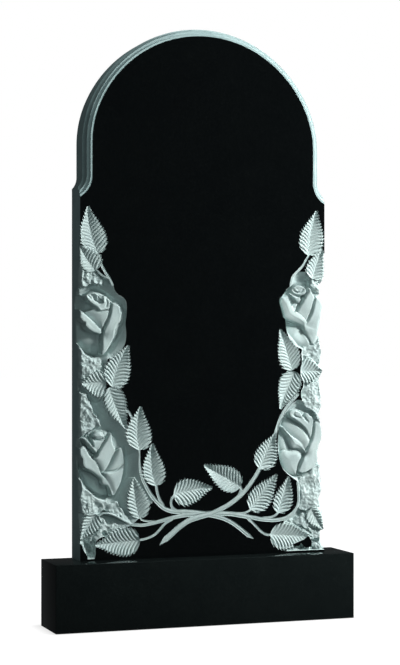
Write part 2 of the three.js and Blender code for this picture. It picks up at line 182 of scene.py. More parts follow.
def inside_of(x, z, loop):
    """Distance inside a closed outline, negative outside."""
    best = np.full(x.shape, 1e9)
    within = np.zeros(x.shape, bool)
    nxt = np.roll(loop, -1, axis=0)
    for (ax, az), (bx, bz) in zip(loop, nxt):
        dx, dz = bx - ax, bz - az
        l2 = dx * dx + dz * dz
        if l2 < 1e-12:
            continue
        t = np.clip(((x - ax) * dx + (z - az) * dz) / l2, 0, 1)
        d = (x - ax - t * dx) ** 2 + (z - az - t * dz) ** 2
        best = np.minimum(best, d)
        cross = (az > z) != (bz > z)
        xs = ax + (z - az) * dx / (dz if abs(dz) > 1e-12 else 1e-12)
        within ^= cross & (x < xs)
    return np.where(within, 1.0, -1.0) * np.sqrt(best)


# ------------------------------------------------------------------ sunk ground

GROUND_LEFT = [
    (-262, 4), (-259, 14), (-259, 30), (-256, 46), (-215, 60), (-187, 72), (-172, 80), (-160, 90),
    (-148, 108), (-134, 120), (-126, 128), (-131, 137), (-140, 151), (-148, 166), (-154, 185),
    (-158, 205), (-159, 245), (-170, 252), (-183, 262), (-188, 276), (-189, 293), (-205, 322),
    (-222, 356), (-233, 378), (-238, 386), (-236, 400), (-237, 420), (-234, 436), (-231, 448),
    (-221, 450), (-211, 456), (-202, 465), (-195, 475), (-190, 487), (-188.5, 500), (-189, 515),
    (-190, 530), (-187.5, 545), (-187, 560), (-188, 575), (-193, 584), (-201, 589), (-208, 593),
    (-214, 600), (-217, 608), (-219, 617), (-225, 627), (-238, 634), (-250, 642), (-262, 652),
    (-300, 688),
]
GROUND_RIGHT = [
    (196, 4), (212, 12), (224, 22), (232, 36), (206, 55), (192, 70), (197, 77), (210, 87),
    (222, 100), (229, 114), (230, 150), (229, 162), (220, 170), (208, 178), (198, 186),
    (190, 195), (184, 208), (180, 225), (178, 250), (179, 275), (182, 295), (190, 314),
    (200, 329), (212, 343), (226, 353), (239, 353), (236, 361), (236, 372), (241, 384),
    (242, 398), (236, 412), (238, 430), (238, 450), (237, 464), (239, 470), (229, 475),
    (219, 482), (211, 491), (204, 502), (199, 516), (197, 530), (196, 539), (191, 546),
    (188, 556), (185, 566), (182, 577), (182, 586), (187, 592), (193, 599), (198, 607),
    (204, 613), (209, 617), (210, 626), (212, 636), (217, 644), (226, 650), (250, 651),
    (262, 660), (300, 698),
]


def sunk_ground(edge, sign, depth, ramp, ease):
    loop = np.vstack([[(edge[0][0], -60)], spline(edge, 4), [(sign * 420, edge[-1][1]), (sign * 420, -60)]])
    xs = [p[0] for p in edge]
    at = window(min(xs), max(xs), 0, 700, 2)
    x, z = X[at], Z[at]
    s = inside_of(x, z, loop)
    t = np.clip(s / ramp, 0, 1)
    d = depth * (1 - (1 - t) ** ease)
    d = d + 0.5 * value_noise(x, z, 22, 5) * smooth(s / 12)
    put(at, s, np.maximum(d, 0.4))


sunk_ground(GROUND_LEFT, -1, 20.0, 38.0, 1.2)
sunk_ground(GROUND_RIGHT, 1, 17.0, 22.0, 2.0)

# ------------------------------------------------------------------ rough stone between the flowers


def rock(points, seed, high=2.0, low=13.0, size=19.0, slant=0.6, stretch=1.5, ramp=5.0):
    loop = spline(points, 5, closed=True)
    at = window(loop[:, 0].min(), loop[:, 0].max(), loop[:, 1].min(), loop[:, 1].max())
    x, z = X[at], Z[at]
    s = inside_of(x, z, loop) + 3.2 * value_noise(x, z, 10, seed + 5) + 1.2 * value_noise(x, z, 4, seed + 6)
    f = facets(x, z, size, seed, slant, stretch) * 0.66 + facets(x, z, size * 0.42, seed + 3, -slant, 1.2) * 0.34
    d = (high + low) / 2 + (low - high) / 2 * np.clip(f * 1.3, -1, 1)
    d = d + 0.12 * (low - high) * flakes(x, z, size * 0.58, seed + 40) + 0.2 * value_noise(x, z, 3.1, seed)
    d = d + 0.13 * (low - high) * facets(x, z, size * 0.27, seed + 60, 1.1)
    d = np.maximum(d, high * 0.6)
    w = smooth(s / ramp)
    D[at] = np.where(s > 0, D[at] * (1 - w) + d * w, D[at])


ROCKS = [
    ([(-302, 598), (-284, 604), (-272, 610), (-256, 612), (-240, 611), (-226, 614), (-226, 622), (-238, 630), (-252, 642), (-280, 650), (-302, 656)], 21, 1, 12),
    ([(-302, 494), (-291, 480), (-278, 466), (-262, 455), (-246, 452), (-238, 440), (-236, 425), (-240, 408), (-262, 404), (-285, 400), (-302, 405)], 22, 1, 9),
    ([(-302, 380), (-289, 378), (-272, 364), (-266, 345), (-256, 326), (-245, 306), (-243, 297), (-258, 291), (-272, 283), (-285, 275), (-302, 268)], 23, 1, 9),
    ([(-302, 190), (-290, 182), (-278, 164), (-265, 152), (-250, 141), (-235, 137), (-222, 132), (-206, 130), (-198, 118), (-189, 104), (-174, 82), (-190, 85), (-204, 92), (-216, 98), (-229, 103), (-243, 103), (-255, 95), (-275, 100), (-302, 105)], 24, 1, 9),
    ([(-252, 95), (-242, 98), (-234, 90), (-227, 78), (-216, 86), (-207, 74), (-222, 62), (-240, 50), (-256, 50), (-264, 62), (-258, 84)], 25, 1, 9),
    ([(-302, 52), (-264, 52), (-257, 34), (-262, 6), (-280, 5), (-302, 20)], 26, 2, 15),
    ([(262, 646), (250, 640), (256, 628), (262, 612), (270, 600), (302, 598), (302, 652)], 31, 2, 12),
    ([(238, 472), (245, 485), (262, 492), (302, 500), (302, 425), (285, 430), (262, 440), (245, 450), (238, 455)], 32, 1, 7.5),
    ([(302, 298), (272, 300), (268, 318), (252, 330), (240, 346), (236, 365), (245, 385), (255, 393), (302, 400)], 33, 1, 8),
    ([(302, 208), (275, 202), (255, 186), (236, 178), (226, 168), (232, 150), (233, 120), (226, 101), (240, 92), (262, 98), (302, 106)], 34, 1, 7),
    ([(302, 60), (284, 50), (262, 60), (246, 92), (216, 80), (202, 74), (230, 58), (256, 46), (264, 30), (256, 11), (270, 5), (302, 5)], 35, 1, 9),
]
for points, seed, high, low in ROCKS:
    rock(points, seed, high, low)

# The slab's front corners are split away beside the carving.


def keep(points):
    """Polished stone left standing inside an outline."""
    loop = np.array(points, float)
    at = window(loop[:, 0].min(), loop[:, 0].max(), loop[:, 1].min(), loop[:, 1].max(), 8)
    s = inside_of(X[at], Z[at], loop)
    S[at] = np.minimum(S[at], -s)


def split_corner(sign, start, slope, z0, z1, seed):
    at = window(-WIDTH / 2, -262, z0, z1) if sign < 0 else window(258, WIDTH / 2, z0, z1)
    x, z = X[at] * sign, Z[at]
    edge = start + 0.35 * (300 - start) * facets(z, x, 30, seed) + 1.2 * value_noise(z, x, 9, seed + 1)
    ends = smooth((z - z0) / 14) * smooth((z1 - z) / 26)
    drop = np.clip(x - edge, 0, None) * slope * (1 + 0.25 * facets(x, z, 12, seed + 2)) * ends
    D[at] = np.where(S[at] > 0, D[at] + drop, D[at])


keep([(-310, -10), (-310, 37), (-292, 38), (-287, 25), (-277.5, 9), (-277, -10)])
keep([(-310, -10), (-310, 4), (310, 4), (310, -10)])
rock([(200, 3), (200, 9), (215, 12), (235, 10), (250, 12), (264, 9), (264, 3)], 38, 1, 6, size=9, ramp=2.0)
rock([(-289, 42), (-285, 26), (-276, 8), (-262, 8), (-260, 30), (-262, 44)], 37, 9, 16, ramp=8.0)
split_corner(-1, 291.0, 1.7, 8, 655, 41)
split_corner(1, 284.0, 2.0, 8, 668, 42)

# ------------------------------------------------------------------ soften and stems


def soften(passes):
    """Rubbed-down chisel work: evens out single steps of the carved surface within the petals, not its outline."""
    global D
    on = (S > 0).astype(float)
    for _ in range(passes):
        top, low = D * on, on.copy()
        for axis in (0, 1):
            for n, field in ((0, top), (1, low)):
                pad = np.concatenate([field.take([0], axis), field, field.take([-1], axis)], axis)
                size = field.shape[axis]
                both = (pad.take(range(0, size), axis) + 2 * field + pad.take(range(2, size + 2), axis)) / 4
                if n:
                    low = both
                else:
                    top = both
        D = np.where((on > 0) & FLOWER, top / np.maximum(low, 1e-6), D)



def stem(path, start, end, over=False, crown=0.4, edge=2.5, line=0.2):
    curve = spline(path, 9)
    w = max(start, end)
    at = window(curve[:, 0].min() - w, curve[:, 0].max() + w, curve[:, 1].min() - w, curve[:, 1].max() + w)
    x, z = X[at], Z[at]
    dist, side, t = to_line(x, z, curve)
    half = (start + (end - start) * t) / 2
    q = np.clip(dist / half, 0, 1)
    d = crown + (edge - crown) * q**2
    d = d + line * np.exp(-(((side * dist / half) + 0.32) / 0.16) ** 2)
    d = d + 0.12 * value_noise(x, z, 5.0, 61)
    if not over:  # stems run into one another
        d = np.where(S[at] > 0, np.minimum(D[at], d), d)
    put(at, half - dist, d)


STEMS_UNDER = [
    ([(-250, 680), (-246, 660), (-237, 643), (-228, 629), (-221, 613)], 4.5, 7.5),
    ([(-260, 652), (-252, 640.5), (-241, 632.5), (-229, 627.5)], 4.6, 4.8),
    ([(-190, 338), (-180, 327), (-172, 313), (-163, 296)], 5.0, 5.0),
    ([(-118.4, 170), (-115, 149), (-110, 134), (-101, 119)], 6.5, 6.5),
    ([(-157, 96), (-150, 87), (-136, 84), (-116, 83)], 4.0, 4.5),
    ([(-256, 89), (-251.5, 97.5), (-242, 103.5), (-229, 103.5), (-216, 99), (-203, 92.5), (-189, 84.5), (-175, 79), (-160, 77)], 3.6, 7.0),
    ([(-182, 80.5), (-172, 77.5), (-148, 76), (-118, 81), (-88, 88), (-58, 94), (-15, 97)], 6.5, 10.5),
    ([(-72, 143), (-80, 133), (-82, 121), (-78, 112), (-68, 105)], 6.0, 6.5),
    ([(-160, 42), (-142, 45), (-125, 51), (-110, 63), (-97, 77), (-80, 87)], 5.0, 6.0),
    ([(-157.3, 250), (-157.5, 228), (-156, 206), (-151.5, 186), (-143, 166), (-130, 144), (-114, 125), (-97, 111), (-78, 104.5), (-50, 103), (-24, 100), (8, 95)], 5.0, 12.5),
    ([(260, 696), (249, 679), (240, 664), (228, 652), (217, 640), (212, 628), (211, 616)], 4.5, 7.0),
    ([(228, 366), (217, 355), (203, 340), (190, 322), (181, 303), (176, 288), (170, 271)], 7.0, 8.5),
    ([(84, 161), (87, 150), (84, 140), (73, 125)], 6.0, 7.0),
    ([(114, 106), (105, 99), (90, 95), (68, 96)], 5.0, 5.5),
    ([(182, 98), (173, 89), (161, 84), (142, 83)], 5.0, 5.5),
    ([(163, 43), (147, 45), (134, 54), (120, 68), (103, 84)], 5.5, 6.5),
    ([(228, 162), (230, 140), (230, 116), (221, 97), (204, 84), (182, 77.5), (150, 78), (120, 83.5), (90, 89.5), (60, 95), (8, 97)], 6.5, 12.0),
    ([(0, 95), (24, 90.5), (46, 83.5), (66, 73.5), (86, 59), (102, 46), (106, 43)], 9.5, 9.0),
]
STEMS_OVER = [
    ([(136, 201), (123, 180), (106, 157), (88, 138), (66, 121.5), (40, 107.5), (14, 96.5), (-14, 90), (-40, 82), (-64, 67.5), (-80, 54), (-94, 43)], 9.0, 13.0),
]


def cut_end(points, depth):
    loop = np.array(points, float)
    at = window(loop[:, 0].min(), loop[:, 0].max(), loop[:, 1].min(), loop[:, 1].max())
    s = inside_of(X[at], Z[at], loop)
    put(at, s, np.where(S[at] > 0, np.minimum(D[at], depth), depth))



for path, start, end in STEMS_UNDER:
    stem(path, start, end)
for path, start, end in STEMS_OVER:
    stem(path, start, end, over=True)
cut_end([(-97, 50), (-103, 41), (-110.5, 28.5), (-91, 38.5), (-86, 44)], 1.0)
cut_end([(108, 47), (114, 40.5), (121.5, 33.5), (103, 40), (98, 46)], 1.0)

# ------------------------------------------------------------------ roses


def downhill(s):
    """How far an outline faces down and left, away from the hand that undercut it, from 0 to 1."""
    dz, dx = np.gradient(s, TOP / NZ, CELL)
    n = np.maximum(np.hypot(dx, dz), 1e-6)
    return np.clip(0.5 + 0.5 * (0.72 * dx + 0.69 * dz) / n, 0, 1)


def undercut(at, s, depth, width):
    """A groove just outside an outline, only where stone is already carved away."""
    near = np.exp(-((np.clip(-s, 0, None) / width) ** 2)) * (0.25 + 0.75 * downhill(s))
    D[at] = np.where((s <= 0) & (S[at] > 0), D[at] + depth * near * smooth(S[at] / 5.0), D[at])


def petal(points, rim, mid, soft=7.0, tilt=(0.0, 0.0), lip=None, dx=0.0, under=(4.5, 3.2)):
    """A petal with a closed outline. rim and mid are its depths at the edge and well inside, tilt the
    depth gained for each mm to the right and up, and lip = (inset, width, height) a rolled edge."""
    loop = spline([(x + dx, z) for x, z in points], 6, closed=True)
    at = window(loop[:, 0].min(), loop[:, 0].max(), loop[:, 1].min(), loop[:, 1].max(), 2.5 * under[1])
    x, z = X[at], Z[at]
    s = inside_of(x, z, loop)
    undercut(at, s, *under)
    FLOWER[at] |= s > -4
    cx, cz = loop[:, 0].mean(), loop[:, 1].mean()
    t = np.clip(s, 0, None)
    d = mid + (rim - mid) * np.exp(-t / soft) * (0.35 + 0.65 * downhill(s)) + tilt[0] * (x - cx) + tilt[1] * (z - cz)
    if lip:
        d = d - lip[2] * np.exp(-(((t - lip[0]) / lip[1]) ** 2))
    d = np.maximum(d, 0.8)
    put(at, s, d)


def crease(points, depth, width, dx=0.0):
    """A narrow groove along a line, deepest at its middle."""
    line = spline([(x + dx, z) for x, z in points], 6)
    w = 3 * width
    at = window(line[:, 0].min() - w, line[:, 0].max() + w, line[:, 1].min() - w, line[:, 1].max() + w)
    dist, _, t = to_line(X[at], Z[at], line)
    D[at] = np.where(S[at] > 0, D[at] + depth * np.exp(-((dist / width) ** 2)) * np.sin(np.pi * np.clip(t * 0.9 + 0.05, 0, 1)) ** 0.5, D[at])


# upper rose on the left
r = dict(dx=2.5)
petal([(-248, 454), (-268, 457), (-281, 464), (-291, 475), (-299, 490), (-306, 530), (-303, 570), (-288, 588), (-268, 598), (-246, 594), (-228, 582), (-214, 560), (-206, 530), (-212, 495), (-226, 468)], 27, 6.0, 27, (-0.14, -0.10), under=(6, 5), **r)
petal([(-246, 456), (-237, 463), (-229, 474), (-221, 487), (-217, 500), (-215, 512), (-211, 524), (-204, 530), (-200, 539), (-198, 549), (-202, 556), (-203, 565), (-208, 570), (-215, 573), (-224, 574), (-226, 562), (-228, 548), (-234, 531), (-242, 512), (-246, 490), (-248, 470)], 6.0, 3.0, 4, (0.12, 0.0), (3.5, 3, 0.8), under=(1.5, 2), **r)
petal([(-298, 562), (-290, 553), (-270, 536), (-252, 520), (-245, 512), (-238, 524), (-231, 538), (-227, 553), (-227, 572), (-238, 574), (-250, 568), (-262, 566), (-280, 564)], 12.5, 6.5, 6, (-0.06, 0.05), (3, 3, 0.6), **r)
petal([(-304, 590), (-290, 590), (-280, 584), (-270, 575), (-258, 568), (-249, 560), (-262, 560), (-278, 555), (-290, 554), (-304, 560)], 18, 27, 3, (-0.9, -0.3), under=(0, 1), **r)
crease([(-300, 590), (-286, 594), (-272, 600), (-258, 601), (-244, 596), (-230, 588), (-216, 578)], 6.0, 4.0, 2.5)
petal([(-284, 589), (-276, 593), (-266, 595), (-256, 591), (-248, 584), (-241, 589), (-238, 580), (-232, 582), (-227, 574), (-228, 560), (-240, 557), (-250, 556), (-257, 563), (-268, 570), (-277, 577)], 4.5, 3.2, 3, (0.05, -0.03), (2.5, 2.2, 1.2), **r)
petal([(-280, 589), (-270, 593), (-259, 591), (-250, 584), (-242, 575), (-250, 572), (-262, 577), (-272, 582)], 5, 9, 3, (0.1, 0), under=(0, 1), **r)
crease([(-276, 591), (-270, 585), (-265, 578)], -4.5, 2.2, 2.5)
crease([(-262, 594), (-257, 586), (-254, 576)], -5.0, 2.2, 2.5)
crease([(-243, 590), (-241, 583), (-243, 574)], -4.0, 2.2, 2.5)
crease([(-282, 586), (-276, 578), (-267, 570), (-257, 563), (-248, 558)], -2.5, 1.8, 2.5)
crease([(-279, 581), (-271, 573), (-261, 566), (-251, 560)], 3.0, 1.4, 2.5)
crease([(-236, 582), (-233, 574), (-236, 565)], 3.5, 1.5, 2.5)
petal([(-303, 564), (-296, 558), (-284, 548), (-270, 536), (-256, 523), (-247, 514), (-244, 507), (-249, 504), (-260, 506), (-270, 510), (-279, 516), (-285, 522), (-285, 529), (-291, 532), (-297, 539), (-304, 550)], 4.8, 3.0, 4, (0.17, 0.06), (4.5, 5, 0.8), under=(13, 17), **r)
crease([(-226, 576), (-226, 560), (-229, 545), (-236, 528), (-243.5, 510), (-246.5, 490), (-247, 468)], 6.0, 2.3, 2.5)
crease([(-304, 486), (-294, 474), (-283, 463), (-270, 456), (-256, 453), (-246, 454), (-236, 460), (-226, 474), (-218, 490)], 7.0, 2.8, 2.5)
crease([(-249, 572), (-258, 577), (-268, 582)], 3.5, 1.7, 2.5)
crease([(-214, 579), (-203, 573), (-197, 562), (-194, 548), (-196, 530), (-203, 512), (-209, 495), (-216, 478), (-228, 462)], 7.0, 3.0, 2.5)


# lower rose on the left
petal([(-220, 140), (-240, 142), (-253, 146), (-266, 156), (-276, 169), (-283, 184), (-291, 205), (-297, 230), (-292, 258), (-278, 280), (-256, 289), (-230, 285), (-208, 262), (-196, 235), (-192, 205), (-197, 175), (-206, 155)], 26, 6.5, 20, (0.0, 0.0), under=(6, 5), **r)
petal([(-213, 243), (-207, 248), (-201, 249), (-197, 242), (-194, 226), (-195, 205), (-200, 190), (-222, 186), (-243, 193), (-238, 202), (-229, 212), (-221, 224), (-217, 234)], 6.0, 4.6, 5, (0.06, 0.0), (2.5, 2, 0.6), **r)
petal([(-242, 196), (-230, 195.5), (-216, 197), (-205, 202.5), (-195, 210), (-195, 198), (-198, 184), (-202, 170), (-210, 156), (-218, 143), (-226, 158), (-233, 174)], 4.0, 2.2, 6, (0.10, 0.0), under=(2.5, 3), **r)
petal([(-290, 272), (-283, 273), (-272, 262), (-262, 250), (-254, 240), (-250, 232), (-256, 222), (-266, 226), (-276, 238), (-286, 250), (-294, 260)], 16, 21, 5, (0, 0), under=(0, 1), **r)
petal([(-226, 284), (-222, 281), (-222, 272), (-219, 257), (-213, 244), (-216, 234), (-221, 224), (-228, 211), (-237, 201), (-245, 194), (-250, 203), (-257, 215), (-264, 226), (-257, 232), (-252, 242), (-245, 253), (-238, 263), (-232, 272)], 7, 3.4, 5, (0.13, 0.02), (3, 3, 0.6), under=(8, 6), **r)
crease([(-211, 244), (-218, 232), (-224, 220), (-231, 208), (-242, 195)], 8.0, 2.6, 2.5)
petal([(-270, 277), (-264, 284), (-255, 287), (-246, 285), (-240, 278), (-238, 269), (-246, 258), (-253, 246), (-262, 244), (-262, 256), (-266, 268)], 8, 5, 4, (0.03, 0.0), **r)
petal([(-274, 278), (-266, 272), (-256, 266), (-246, 267), (-237, 270), (-246, 258), (-256, 245), (-263, 250), (-266, 262)], 6, 5, 4, (0.04, 0.05), (2, 1.6, 1.0), **r)
petal([(-268, 277), (-260, 283), (-250, 285), (-243, 280), (-240, 272), (-250, 269), (-261, 270)], 8.0, 1.4, 5.5, (0.10, 0), under=(7, 4), **r)
crease([(-250, 284), (-245, 278), (-244, 270)], 2.0, 1.4, 2.5)
petal([(-290, 270), (-284, 273), (-274, 263), (-264, 251), (-256, 242), (-259, 238), (-266, 243), (-275, 253), (-284, 262)], 6, 2.4, 3, (0, 0), **r)
petal([(-303, 246), (-297, 251), (-290, 255), (-283, 252), (-278, 243), (-272, 232), (-263, 223), (-256, 213), (-251, 203), (-246, 192), (-238, 183), (-231, 173), (-226, 160), (-221, 149), (-219, 141), (-224, 145), (-228, 156), (-233, 164), (-240, 167), (-246, 170), (-248, 180), (-256, 187), (-266, 195), (-276, 201), (-286, 206), (-291, 214), (-292, 226), (-300, 238)], 5.5, 3.4, 3.5, (0.10, 0.07), (4, 4, 0.6), under=(9, 7), **r)

crease([(-243, 197), (-230, 196.5), (-216, 198.5), (-204, 204.5), (-196, 212)], 4.5, 2.0, 2.5)
crease([(-294, 205), (-286, 182), (-278, 166), (-266, 153), (-253, 144), (-240, 140), (-224, 138)], 7.0, 2.8, 2.5)
crease([(-196, 252), (-190, 232), (-189, 208), (-193, 184), (-202, 160), (-214, 142)], 6.0, 3.2, 2.5)

# upper rose on the right
r = dict(dx=3.0)
petal([(238, 477), (225, 480), (214, 487), (206, 497), (201, 509), (198, 521), (196, 536), (189, 560), (184, 582), (196, 604), (214, 618), (236, 620), (260, 614), (278, 598), (290, 572), (286, 540), (278, 510), (264, 484), (252, 477)], 19, 6.0, 15, (-0.10, 0.10), under=(5, 4), **r)
petal([(262, 482), (257, 492), (251, 502), (245, 512), (244, 528), (252, 538), (260, 553), (265, 570), (266, 588), (274, 592), (284, 586), (290, 574), (289, 560), (286, 546), (281, 532), (279, 516), (276, 500), (270, 486)], 5.5, 3.2, 6, (0.17, 0), (4, 4, 0.6), **r)
petal([(252, 615), (258, 613), (263, 602), (269, 592), (267, 580), (263, 564), (257, 549), (250, 536), (240, 545), (230, 553), (223, 558), (228, 568), (236, 581), (244, 594), (249, 605)], 5, 2.6, 5, (0.05, 0.0), (3, 3, 0.6), **r)
crease([(270, 592), (267, 580), (263, 563), (257, 548), (249, 535)], 7.0, 2.4, 3)
petal([(188, 589), (196, 602), (206, 606), (216, 600), (226, 590), (236, 584), (228, 570), (222, 558), (214, 566), (207, 578), (201, 588)], 11, 10, 5, (0, 0), **r)
petal([(204, 601), (212, 596), (220, 585), (230, 577), (236, 583), (232, 592), (224, 598), (214, 602)], 5.5, 3.4, 3, (0.05, 0), (2, 1.6, 0.8), **r)
petal([(212, 572), (220, 578), (229, 575), (224, 560), (217, 563)], 7, 5, 3, (0.04, 0), **r)
petal([(209, 604), (214, 614), (225, 619), (238, 617), (247, 610), (248, 601), (240, 596), (228, 594), (216, 598)], 6, 3.4, 3.5, (0.03, 0), (2.4, 2, 1.4), **r)
crease([(214, 611), (219, 605), (228, 602), (236, 604), (240, 611)], 4.5, 2.0, 3)
crease([(222, 612), (229, 608), (234, 611)], 2.0, 1.4, 3)
crease([(251, 606), (245, 595), (239, 585), (232, 574), (224, 560)], 10.0, 3.0, 3)
crease([(202, 608), (212, 602), (222, 597), (232, 594), (242, 597)], 6.0, 2.4, 3)
petal([(183, 584), (186, 590), (194, 590), (202, 589), (207, 581), (212, 572), (218, 563), (225, 556), (234, 551), (243, 543), (250, 534), (247, 524), (244, 514), (242, 522), (234, 528), (222, 532), (210, 536), (199, 540), (192, 546), (189, 556), (186, 567), (182, 577)], 8.0, 2.2, 8, (0.06, -0.02), under=(15, 22), **r)

# lower rose on the right
petal([(222, 177), (208, 182), (198, 188), (189, 198), (183, 211), (180, 228), (178, 250), (179, 274), (183, 294), (192, 314), (204, 328), (222, 332), (244, 326), (264, 314), (280, 296), (286, 268), (282, 236), (272, 206), (252, 186), (236, 178)], 17, 6.5, 15, (0.0, 0), under=(5, 4), **r)
petal([(222, 178), (208, 182), (198, 188), (190, 198), (184, 212), (182, 228), (190, 236), (204, 235), (215, 239), (226, 240), (236, 236), (243, 229), (238, 220), (231, 209), (226, 194)], 9, 4.2, 8, (-0.05, 0.03), **r)
petal([(228, 186), (232, 200), (240, 216), (247, 229), (250, 240), (258, 252), (264, 266), (267, 285), (267, 298), (276, 304), (285, 296), (289, 276), (287, 258), (281, 246), (277, 230), (278, 214), (274, 202), (262, 192), (244, 184)], 6.0, 3.2, 7, (0.15, 0.0), (4, 4, 0.6), **r)
crease([(266, 296), (265, 280), (261, 262), (254, 248), (248, 234), (240, 220), (232, 208), (227, 196)], 5.0, 2.4, 3)
petal([(192, 302), (198, 312), (208, 314), (220, 306), (236, 296), (246, 286), (254, 272), (257, 258), (250, 244), (244, 238), (234, 250), (222, 262), (208, 274), (197, 284), (191, 292)], 10.0, 7.5, 5, (-0.07, 0.13), **r)
petal([(203, 321), (208, 327), (216, 329), (226, 327), (235, 321), (240, 313), (246, 321), (253, 322), (257, 316), (263, 313), (266, 304), (266, 290), (263, 275), (258, 261), (253, 272), (247, 284), (238, 293), (227, 301), (216, 308), (207, 313)], 5.0, 2.8, 4, (0.06, -0.02), (3, 2.6, 0.8), **r)
crease([(205, 311), (217, 303), (229, 295), (240, 286), (250, 273)], 4.5, 2.2, 3)
crease([(240, 316), (246, 309), (252, 302)], 5.0, 2.0, 3)
crease([(218, 325), (216, 318), (222, 314), (233, 311)], 3.5, 1.8, 3)
crease([(266, 298), (266, 285), (264, 272)], 5.0, 2.0, 3)
petal([(183, 292), (187, 293), (192, 290), (198, 282), (207, 274), (217, 266), (227, 259), (237, 250), (244, 241), (248, 231), (245, 228), (240, 231), (232, 237), (222, 240), (212, 241), (208, 248), (205, 258), (201, 268), (195, 277), (188, 285)], 8.0, 2.2, 7, (0.08, 0.05), under=(8, 9), **r)

soften(1)
# ------------------------------------------------------------------ leaves


def leaf(bx, bz, tx, tz, bend, left, right, vein_left, vein_right, fold=6.5, edge=1.3, seed=0, pitch=8.2):
    """A leaf folded in along its midrib, with slanting veins that end in forward teeth. Left and
    right are as seen from the base to the tip."""
    rise, fall = 0.5, 1.1
    length = math.hypot(tx - bx, tz - bz)
    ax, az = (tx - bx) / length, (tz - bz) / length
    reach = max(left, right) + 4
    at = window(min(bx, tx) - reach, max(bx, tx) + reach, min(bz, tz) - reach, max(bz, tz) + reach)
    x, z = X[at] - bx, Z[at] - bz
    along = x * ax + z * az
    u = along / length
    uc = np.clip(u, 1e-4, 1 - 1e-4)
    v = -x * az + z * ax - bend * 4 * uc * (1 - uc)
    widest = rise / (rise + fall)
    shape = (uc / widest) ** rise * ((1 - uc) / (1 - widest)) ** fall
    on_left = v >= 0
    half = np.where(on_left, left, right) * shape + 1.8
    a = np.abs(v)
    f = np.clip(a / np.maximum(half, 0.5), 0, 1)
    veins = np.where(on_left, 0.25 + 0.8 * vein_left, 0.25 + 0.8 * vein_right)
    lean = 0.95 - 0.42 * f
    phase = (along - lean * a) / pitch + np.where(on_left, 0.0, 0.45) + 0.12 * value_noise(x, z, 19, seed)
    saw = phase - np.floor(phase)
    tooth = (4.2 + 3.8 * np.minimum(veins, 1.0)) * np.minimum(1.0, half / 12.0)
    s = np.minimum(half + 1.8 - tooth * (1 - saw) ** 0.8 - a, np.minimum(along + 0.3, length - along + 0.3))
    deep = edge + (fold - edge) * (1 - np.abs(2 * uc - 1) ** 3.0) ** 0.6
    curve = np.where(on_left ^ (vein_left > vein_right), 1.25, 1.9)
    d = edge + (deep - edge) * (1 - f) ** curve
    beyond = np.maximum(np.maximum(a - half, -along), along - length)
    skirt = 5.0 + 1.1 * np.clip(beyond, 0, None)  # stone left under the leaf where the ground is deep
    D[at] = np.where((s <= 0) & (S[at] > 0) & (along < length + 1), np.minimum(D[at], skirt), D[at])
    undercut(at, s, 1.6, 1.8)
    ridge = np.sin(np.pi * np.clip(saw, 0, 1)) ** 0.8
    strength = (0.25 + 0.75 * np.clip(f * 1.5, 0, 1)) * veins * np.minimum(1.0, half / 9.0)
    d = d - (ridge - 0.5) * 3.6 * strength
    d = d + 1.1 * smooth((f - 0.86) / 0.14)
    d = d + 0.14 * value_noise(X[at], Z[at], 2.4, seed + 7)
    put(at, s, np.maximum(d, 0.5))


LEAVES = [
    (-253, 684, -276.5, 787.5, 5, 29, 31, 0.45, 1.1),
    (-259, 646, -295, 700, 2, 21, 29, 0.4, 1.0),
    (-235, 397, -291, 393.5, 0, 34, 26, 0.75, 1.0),
    (-227, 385, -188, 291, -2, 27, 23, 0.7, 1.2),
    (-220, 387, -182, 478.5, 4, 29, 32, 1.0, 1.0),
    (-157, 245, -154, 341.5, 4.5, 29, 32, 0.9, 1.2),
    (-118, 164, -126, 258.5, 5, 24, 29, 0.8, 1.2),
    (-157, 91, -170, 182, 2, 22, 30, 0.95, 1.2),
    (-75, 141, 16.5, 155.5, 3, 28, 32, 0.7, 1.0),
    (-257, 103, -293, 48, 0, 24, 21, 1.0, 0.8),
    (-157, 42, -260, 34.5, 0, 32, 33, 1.0, 1.0),
    (266, 634, 290, 702, 0, 25, 25, 0.6, 1.0),
    (255, 690, 275.5, 792.5, 2, 28, 33, 1.0, 0.9),
    (214, 423, 184, 516, -2, 26, 28, 1.0, 0.9),
    (235, 420, 290, 420, 0, 29, 29, 0.6, 1.0),
    (222, 418, 184, 333, 0, 26, 28, 1.0, 0.5),
    (135, 196, 171, 276, 0, 27, 29, 1.0, 0.9),
    (86, 157.5, -2.5, 207, 0, 28, 28, 0.3, 1.0),
    (112, 102, 175.5, 182, 0, 27, 29, 1.0, 1.0),
    (180, 93.5, 205.5, 176, -2, 23, 24, 1.0, 0.9),
    (262, 100, 292, 51, 0, 14, 23, 0.9, 0.5),
    (160, 43, 266, 34, 0, 29, 33, 0.6, 1.0),
]
for k, row in enumerate(LEAVES):
    leaf(*row, seed=100 + 9 * k)

# polished stone left standing under the last leaf, and hollows beside the foot
keep([(216, 19), (222, 22), (230, 25), (236, 27), (243, 29), (248, 33), (254, 37.5), (259, 32), (263, 24), (262, 13), (256, 10.5), (244, 11), (240, 17), (236, 19.5), (231, 15), (220, 14.5)])
petal([(268, 24), (271, 30), (283, 30.5), (286, 25), (281, 21), (273, 20.5)], 9, 20, 2.0, (-0.8, -0.5), under=(0, 1))
petal([(-284, 43), (-276, 41), (-268, 31), (-265.5, 18), (-273, 17), (-281, 28)], 8, 24, 2, (-0.7, -0.5), under=(0, 1))
petal([(-243, 63), (-236, 66), (-231, 60), (-234, 53), (-241, 53)], 7, 15, 2.5, (0, 0), under=(0, 1))

# The slab's own corner is a little worn where carving runs out to it.
out = np.clip(np.abs(X) - 292.5, 0, None)
D = np.where(S > 0, D + 0.5 * out**1.6, D)
D = np.where(S > 0, np.clip(D, 0.35, 46.0), 0.0)

# ------------------------------------------------------------------ mesh of the carved front

